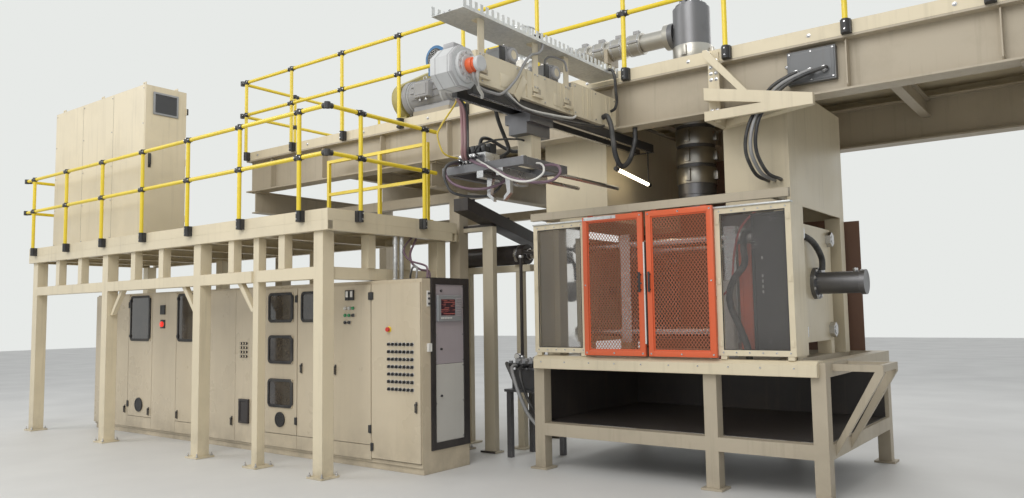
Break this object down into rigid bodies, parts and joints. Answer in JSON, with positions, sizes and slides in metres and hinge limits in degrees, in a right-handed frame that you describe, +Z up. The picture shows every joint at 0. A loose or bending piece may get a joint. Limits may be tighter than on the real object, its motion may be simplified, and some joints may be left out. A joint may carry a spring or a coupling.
{
  "type": "extrusion blow moulding machine",
  "caption": "Large accumulator-head blow moulding machine with steel decks, yellow railings, control cabinets, a guarded clamp and a take-out robot.",
  "frame": {"origin": "middle of the lower deck's corner post, on the floor under its foot plate", "axes": "+X along the machine's front to the right, +Y into the machine, +Z up"},
  "size_m": [13.662, 5.5, 5.4703],
  "materials": {
    "cream_paint": "satin",
    "tan_paint": "satin",
    "yellow_paint": "satin",
    "black_paint": "satin",
    "grey_paint": "satin",
    "black_plastic": "satin",
    "red_plastic": "gloss",
    "rack_grey": "satin",
    "machined_steel": "satin",
    "dark_steel": "satin",
    "clear_pane": "gloss",
    "orange_paint": "satin",
    "blue_paint": "satin",
    "galvanised": "matte",
    "black_rubber": "matte"
  },
  "bodies": {
    "frame": {"lower_deck_frame": "cream_paint", "upper_deck_frame": "tan_paint", "deck_plates": "cream_paint", "support_columns": "cream_paint", "guard_rails": "yellow_paint", "rail_fittings": "black_paint", "back_guard": "yellow_paint", "hose_bracket": "cream_paint", "junction_box": "grey_paint", "drive_cabinet": "cream_paint", "supply_cabinet": "cream_paint", "control_cabinets": "cream_paint", "rack_frame": "black_paint", "rack_panels": "rack_grey", "press_base": "tan_paint", "press_sill": "cream_paint", "end_plates": "cream_paint", "tie_bars": "machined_steel", "clamp_cylinders": "dark_steel", "guard_frame": "cream_paint", "window_panes": "clear_pane", "gate_track": "tan_paint", "extruder_stand": "tan_paint", "drive_motor": "grey_paint", "motor_blower": "blue_paint", "belt_guard": "cream_paint", "gearbox": "tan_paint", "extruder_barrel": "machined_steel", "feed_hopper": "galvanised", "parison_head": "dark_steel", "head_cylinder": "dark_steel", "robot_beam": "cream_paint", "robot_servo": "grey_paint", "cable_tray": "galvanised", "valve_stand": "dark_steel", "oil_accumulator": "black_paint", "scrap_chute": "black_paint", "service_hose": "black_rubber", "junction_hoses": "black_rubber"},
    "drive_door": {"drive_cabinet_door": "cream_paint"},
    "supply_left": {"supply_door_left": "cream_paint"},
    "supply_right": {"supply_door_right": "cream_paint"},
    "heater_left": {"heater_door_left": "cream_paint"},
    "heater_right": {"heater_door_right": "cream_paint"},
    "gauge": {"gauge_door": "cream_paint"},
    "selector": {"selector_door": "cream_paint", "selector_knobs": "black_plastic"},
    "stop": {"stop_button": "red_plastic"},
    "platen_left": {"platen_left": "machined_steel"},
    "platen_right": {"platen_right": "machined_steel"},
    "gate_left": {"gate_left": "orange_paint"},
    "gate_right": {"gate_right": "orange_paint"},
    "screw": {"extruder_screw": "machined_steel"},
    "pin": {"die_pin": "machined_steel"},
    "carriage": {"robot_carriage": "dark_steel"},
    "arm": {"robot_arm": "cream_paint", "tooling_frame": "dark_steel", "tool_hose": "black_rubber"},
    "jaw_left": {"gripper_left": "machined_steel"},
    "jaw_right": {"gripper_right": "machined_steel"}
  },
  "joints": [
    {"name": "drive_door_hinge", "type": "hinge", "parent": "frame", "child": "drive_door", "pos_m": [-3.932, 0.737, 3.9], "axis": [0, 0, 1], "range_deg": [0, 110]},
    {"name": "supply_left_hinge", "type": "hinge", "parent": "frame", "child": "supply_left", "pos_m": [-5.184, 0.6093, 1.1], "axis": [0, 0, -1], "range_deg": [0, 110]},
    {"name": "supply_right_hinge", "type": "hinge", "parent": "frame", "child": "supply_right", "pos_m": [-3.251, 0.6093, 1.1], "axis": [0, 0, 1], "range_deg": [0, 110]},
    {"name": "heater_left_hinge", "type": "hinge", "parent": "frame", "child": "heater_left", "pos_m": [-1.226, 0.6093, 1.1], "axis": [0, 0, 1], "range_deg": [0, 67]},
    {"name": "heater_right_hinge", "type": "hinge", "parent": "frame", "child": "heater_right", "pos_m": [-0.5903, 0.6093, 1.1], "axis": [0, 0, 1], "range_deg": [0, 110]},
    {"name": "gauge_hinge", "type": "hinge", "parent": "frame", "child": "gauge", "pos_m": [0.0577, 0.6093, 1.1], "axis": [0, 0, 1], "range_deg": [0, 70]},
    {"name": "selector_hinge", "type": "hinge", "parent": "frame", "child": "selector", "pos_m": [0.07, 0.6093, 1.1], "axis": [0, 0, -1], "range_deg": [0, 75]},
    {"name": "stop_push", "type": "slide", "parent": "selector", "child": "stop", "axis": [0, 1, 0], "range_m": [0, 0.006], "stiffness_N_per_m": 900},
    {"name": "platen_left_slide", "type": "slide", "parent": "frame", "child": "platen_left", "axis": [1, 0, 0], "range_m": [0, 0.3]},
    {"name": "platen_right_slide", "type": "slide", "parent": "frame", "child": "platen_right", "axis": [-1, 0, 0], "range_m": [0, 0.3]},
    {"name": "gate_left_slide", "type": "slide", "parent": "frame", "child": "gate_left", "axis": [-1, 0, 0], "range_m": [0, 0.6]},
    {"name": "gate_right_slide", "type": "slide", "parent": "frame", "child": "gate_right", "axis": [1, 0, 0], "range_m": [0, 0.6]},
    {"name": "screw_turn", "type": "hinge", "parent": "frame", "child": "screw", "pos_m": [1.4, 2.825, 4.85], "axis": [1, 0, 0], "continuous": true},
    {"name": "die_pin_slide", "type": "slide", "parent": "frame", "child": "pin", "axis": [0, 0, -1], "range_m": [0, 0.03]},
    {"name": "carriage_slide", "type": "slide", "parent": "frame", "child": "carriage", "axis": [0, 1, 0], "range_m": [-0.15, 1.1]},
    {"name": "arm_slide", "type": "slide", "parent": "carriage", "child": "arm", "axis": [0, 0, -1], "range_m": [0, 0.13]},
    {"name": "jaw_left_slide", "type": "slide", "parent": "arm", "child": "jaw_left", "axis": [-1, 0, 0], "range_m": [0, 0.04]},
    {"name": "jaw_right_slide", "type": "slide", "parent": "arm", "child": "jaw_right", "axis": [1, 0, 0], "range_m": [0, 0.04]}
  ],
  "couplings": [
    {"joint": "platen_right_slide", "follows": "platen_left_slide", "ratio": 1},
    {"joint": "jaw_right_slide", "follows": "jaw_left_slide", "ratio": 1}
  ]
}
